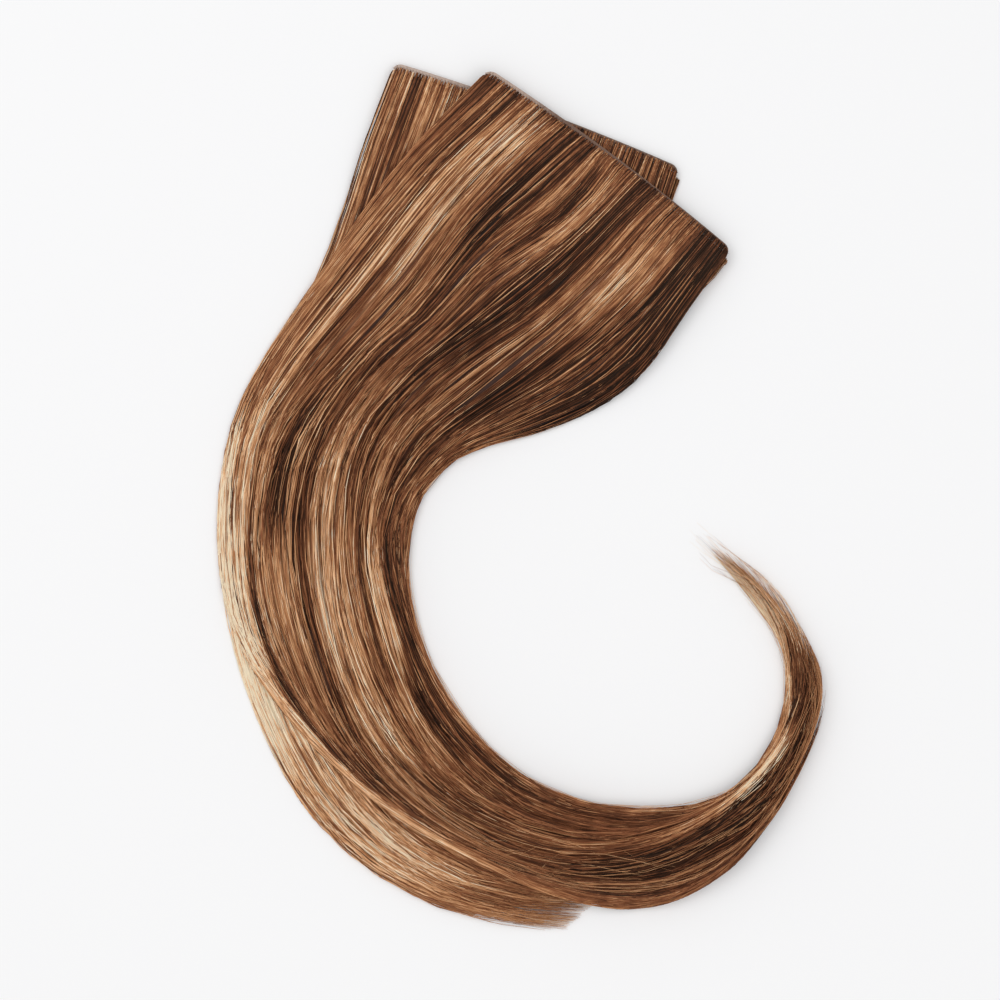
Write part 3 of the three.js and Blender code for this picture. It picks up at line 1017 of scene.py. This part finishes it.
def hair_tones(flow, spec, chart, section):
    """Each hair's tones: its streaks, its grain and a tone of its own, calmer where the hair turns."""
    share = spec["share"][:, None]
    streaked = chart.streaked(share, section, spec["mix"][:, None])
    calm = 1 - 0.45 * smooth(section, 9.5, 11.5) * (1 - smooth(section, 13.5, 15))
    return streaked + (chart.grain(share, section / flow.last) + spec["hair_tone"][:, None]) * calm


def front_top_end(share):
    """Hair from the strip's inner part reaches the tail, and the rest ends before it."""
    tail = TAIL_END - 3.0 * random.uniform(0, 1, len(share)) ** 1.1
    early = np.interp(share, *EARLY_ENDS)
    return np.minimum(tail, early + random.normal(0, 0.3, len(share)))


def back_end(share):
    return BACK_END - 1.5 * random.uniform(0, 1, len(share)) ** 2.2 + 0.5 * smooth(share, 0.2, 0.6)


def tail_wisp_end(share):
    return TAIL_END + 0.06 - 0.9 * random.uniform(0, 1, len(share)) ** 2


def ends_between(low, high):
    """Hair that ends anywhere between two sections."""

    def end(share):
        return random.uniform(low, high, len(share))

    return end


def beside(offset):
    """A bend that holds each hair a set way to the side."""

    def bend(distance, chosen):
        return offset[chosen][:, None] + 0 * distance

    return bend


front_flow = Flow(FRONT_SECTIONS, FRONT_SWELLS, kept)
front_top_flow = Flow(FRONT_SECTIONS, FRONT_SWELLS, guided(front_flow, FRONT_GUIDES))
back_flow = Flow(BACK_SECTIONS, BACK_SWELLS, drawn_in, 1.0)
back_cover = Cover(back_flow, COVER_END)

strand_look = hair_material("hair_strand", 0.36)
back_strand_look = hair_material("back_hair_strand", 0.38)
body_look = body_material("hair_body")
front_strip_look = strip_material("front_strip", (184, 160, 146), (108, 80, 64), (0, 24))
back_strip_look = strip_material("back_strip", (190, 168, 155), (108, 82, 66), (-35, 20))
under_look = strip_material("under_strip", (176, 156, 148), (136, 116, 106), (-60, 90))

front_chart = Chart(FRONT_TONE, FRONT_STREAKS, FRONT_GRAIN)
back_chart = Chart(BACK_TONE, BACK_STREAKS, BACK_GRAIN)

# The hairs of the two wefts
front_top = hair_group(
    front_top_flow, FRONT_HAIRS, (0.0, 1.0), (0.86, 1.02), FRONT_CLUMPS, front_top_end, 0.2, extra=0.13,
)
paths, radii, section = hair_paths(front_top_flow, front_top, back_cover, FRONT_STEPS, FRONT_TAIL_SHARE)
tones = hair_tones(front_top_flow, front_top, front_chart, section)
build_strands("front_hairs", strand_look, paths, radii, tones, 5)

back_top = hair_group(back_flow, BACK_HAIRS, (0.0, 1.0), (0.82, 1.02), BACK_CLUMPS, back_end, 0.2)
paths, radii, section = hair_paths(back_flow, back_top, None, BACK_STEPS, BACK_TAIL_SHARE)
tones = hair_tones(back_flow, back_top, back_chart, section)
build_strands("back_hairs", back_strand_look, paths, radii, tones, 3)


def loose_hairs(name, count, shares, end, starts, fan, tone=None, aside=0.0, longer=0.0):
    """Thin single hairs whose tips stray from the rest; with no tone, they take the streaks' tones."""
    flow = front_top_flow
    spec = hair_group(flow, count, shares, (1.0, 1.08), LOOSE_CLUMPS, end, 0.0, 1.0, fan, 1.0)
    spec["length"] = spec["length"] + longer * random.uniform(0, 1, count) ** 2
    spec["start"] = np.minimum(random.uniform(*starts, count), spec["length"] - LOOSE_LENGTH)
    if aside:
        spec["hair_bend"] = beside(np.abs(random.normal(0, aside, count)))
    spec["radius"] = LOOSE_RADIUS * random.uniform(0.8, 1.2, count)
    paths, radii, section = hair_paths(flow, spec, back_cover, LOOSE_STEPS, 0.0)
    radii = radii * np.clip(np.arange(radii.shape[1]) / LOOSE_ROOT_STEPS, 0.2, 1)
    if tone is None:
        tones = hair_tones(flow, spec, front_chart, section)
    else:
        tones = tone + random.normal(0, 0.12, count)[:, None] + 0 * section
    build_strands(name, strand_look, paths, radii, tones)


loose_hairs("front_loose_tips", 60, (0.0, 0.6), ends_between(9.6, 12.8), (250, 310), 5.0, 0.62)
loose_hairs("front_tail_wisps", 60, (0.56, 1.0), tail_wisp_end, (330, 390), 3.2, longer=12.0)
loose_hairs("front_outer_wisps", 40, (0.2, 0.5), ends_between(18.4, 19.4), (330, 390), 2.2, 0.5)
loose_hairs("front_inner_wisps", 80, (0.97, 1.0), ends_between(9, TAIL_END), (100, 330), 1.0, 0.66, 0.7)


def body_mesh(name, node, flow, end, cover, chart):
    """The closed body of deeper hair that the single hairs lie on."""
    share = np.linspace(*BODY_SHARES, BODY_COLUMNS)[:, None] * np.ones((1, BODY_ROWS))
    reach = flow.distance_to(share[:, 0], end(share[:, 0]))[:, None]
    root = STRIP_WIDTH + GAP
    distance = root + (reach - root) * np.linspace(0, 1, BODY_ROWS)[None]
    section = flow.section(share, distance)
    ground = flow.place(share, distance)
    base, rise = flow.heights(share, section)
    top = base + rise * BODY_LEVEL * tapered(reach - distance)
    bottom = base
    if cover is not None:
        under = cover.height(ground)
        top = np.maximum(top, under + 2 * BODY_SKIN)
        bottom = np.clip(under + BODY_SKIN, base, top - BODY_SKIN)
    top = np.maximum(top, bottom + BODY_SKIN)
    points = np.stack([raised(ground, top), raised(ground, bottom)]).reshape(-1, 3)
    piece = mesh_from(name, points, body_look, body_faces(BODY_COLUMNS, BODY_ROWS))
    # The body's tone is lowered a little as painted shade of the deeper hair
    tone = chart.streaked(share, section) + chart.grain(share, section / flow.last) - BODY_PAINTED_SHADE
    add_number(piece.data, "tone", np.tile(tone.ravel(), 2))
    add_number(piece.data, "across", np.tile((share * BODY_LINES).ravel(), 2))
    add_number(piece.data, "along", np.tile((distance * BODY_LINE_CHANGE).ravel(), 2))
    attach(piece, "root")
    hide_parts(node)


def body_faces(columns, rows):
    """Faces over and under a grid of points, and walls round its rim."""
    size = columns * rows
    top = np.arange(size).reshape(columns, rows)
    low = top + size
    upper = np.stack([top[:-1, :-1], top[:-1, 1:], top[1:, 1:], top[1:, :-1]], -1).reshape(-1, 4)
    lower = np.stack([low[:-1, :-1], low[1:, :-1], low[1:, 1:], low[:-1, 1:]], -1).reshape(-1, 4)
    rim = np.concatenate([top[:, 0], top[-1, 1:], top[-2::-1, -1], top[0, -2:0:-1]])
    onward = np.roll(rim, -1)
    return np.vstack([upper, lower, np.stack([rim, onward, onward + size, rim + size], -1)])


def front_body_end(share):
    return 14.2 + 4.0 * smooth(share, 0.15, 0.6)


def back_body_end(share):
    return 11.3 + 1.0 * smooth(share, 0.0, 0.5)


body_mesh("front_hair_body", "front_hair", front_top_flow, front_body_end, back_cover, front_chart)
body_mesh("back_hair_body", "back_hair", back_flow, back_body_end, None, back_chart)


def under_row(name, flow, level):
    """The lower row of hair, whose end peeps out beside the strip."""
    count = UNDER_HAIRS
    most = count * 3 // 4
    share = np.append(random.uniform(0.55, 1.012, most), random.uniform(0.98, 1.013, count - most))
    share = np.sort(share)[:, None]
    distance = np.linspace(UNDER_SETBACK + 0.6, UNDER_LENGTH, UNDER_STEPS)[None] + 0 * share
    place = share + (np.minimum(share, UNDER_INNER) - share) * smooth(distance, *UNDER_INNER_SPAN)
    base, rise = flow.heights(place, flow.section(place, distance))
    start = level + UNDER_THICKNESS + 0.15
    end = base + rise * 0.55
    height = start + (end - start) * smooth(distance, *UNDER_SINK_SPAN)
    radii = STRAND_RADIUS * np.ones(distance.shape)
    # The row's start is painted light, tone 0.5, against the shade under the upper hair, and it falls to
    # 0.3 further in
    tones = 0.5 + random.normal(0, 0.05, count)[:, None] - 0.2 * smooth(distance, *UNDER_PAINTED_LIGHT_SPAN)
    build_strands(name, strand_look, raised(flow.place(place, distance), height), radii, tones)


under_row("front_under_hairs", front_flow, FRONT_LEVEL)
under_row("back_under_hairs", back_flow, BACK_LEVEL)


def strip_teeth(name, flow, look):
    """Small clear teeth between the tufts, from the strip a little way over the hair."""
    tufts = int(np.round(flow.strip_length / TUFT_PITCH))
    share = (np.arange(1, tufts) / tufts)[:, None]
    size = random.uniform(0.5, 1.0, tufts - 1)[:, None] * (1.0 - 0.5 * smooth(share, 0.1, 0.6))
    start, growth, rise, radius = np.array(TOOTH_RINGS).T
    distance = start + growth * size
    ground = flow.place(share, distance)
    height = flow.strip[CROWN] + rise + 0 * distance
    piece = tube_mesh(name, raised(ground, height), radius * np.sqrt(size), 0 * distance, look)
    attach(piece, "root")


strip_teeth("front_strip_teeth", front_flow, front_strip_look)
strip_teeth("back_strip_teeth", back_flow, back_strip_look)


def strip_band(name, node, flow, look):
    """A strip with rounded ends and soft upper edges."""
    corner = np.linspace(0.04, 1, 12) ** 1.5 * CORNER_RADIUS / flow.strip_length
    share = np.concatenate([corner, np.linspace(0.05, 0.95, 19), 1 - corner[::-1]])[:, None]
    drop = np.minimum(corner_drop(flow, share), STRIP_WIDTH - 0.2)
    across, up = np.array(BAND_RING).T
    distance = drop + (STRIP_WIDTH - drop) * across
    ground = flow.place(share, distance)
    base, crown = flow.strip[[BASE, CROWN]]
    points = raised(ground, base + (crown - base) * up + 0 * distance)
    index = np.arange(distance.size).reshape(distance.shape)
    first = index[0, [[3, 2, 1, 0], [5, 4, 3, 0]]]
    last = index[-1, [[0, 1, 2, 3], [0, 3, 4, 5]]]
    piece = mesh_from(name, points.reshape(-1, 3), look, np.vstack([ring_walls(index), last, first]))
    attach(piece, "root")
    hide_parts(node)


strip_band("front_strip_band", "front_strip", front_flow, front_strip_look)
strip_band("back_strip_band", "back_strip", back_flow, back_strip_look)

for node in ("front_under_strip", "back_under_strip"):
    for place in bpy.data.objects[node].material_slots:
        place.material = under_look

# The table, the lights and the camera
table_look = Look("table_top")
paper = table_look.add("TexNoise", "Fac", {"Scale": 3})
table_look.feed(table_look.shader, {
    "Base Color": table_look.ramp(paper, TABLE_COLOURS),
    "Roughness": 0.9,
    "Specular IOR Level": 0.1,
})
bpy.ops.mesh.primitive_plane_add(size=TABLE_SIZE, location=(0, 0, -TABLE_DROP))
floor = bpy.context.object
floor.name = "table"
floor.data.materials.append(table_look.material)


def area_light(name, place, power):
    """A round light that looks at the middle of the table."""
    data = bpy.data.lights.new(name, "AREA")
    data.shape = "DISK"
    data.size = LIGHT_SIZE
    data.energy = power
    light = bpy.data.objects.new(name, data)
    light.location = place
    x, y, z = place
    light.rotation_euler = (np.arctan2(np.hypot(x, y), z), 0, np.arctan2(-y, -x) - np.pi / 2)
    scene.collection.objects.link(light)


area_light("key", (-0.62, 0.5, 1.6), 7.8)
area_light("fill", (0.7, -0.45, 1.7), 4.8)

world = bpy.data.worlds.new("studio")
world.use_nodes = True
background = world.node_tree.nodes["Background"]
background.inputs["Color"].default_value = (1, 1, 1, 1)
background.inputs["Strength"].default_value = WORLD_STRENGTH
scene.world = world

camera_data = bpy.data.cameras.new("camera")
camera_data.sensor_width = CAMERA_SENSOR
camera_data.lens = CAMERA_LENS
camera = bpy.data.objects.new("camera", camera_data)
camera.location = CAMERA_PLACE
scene.collection.objects.link(camera)
scene.camera = camera
scene.view_settings.view_transform = "Standard"
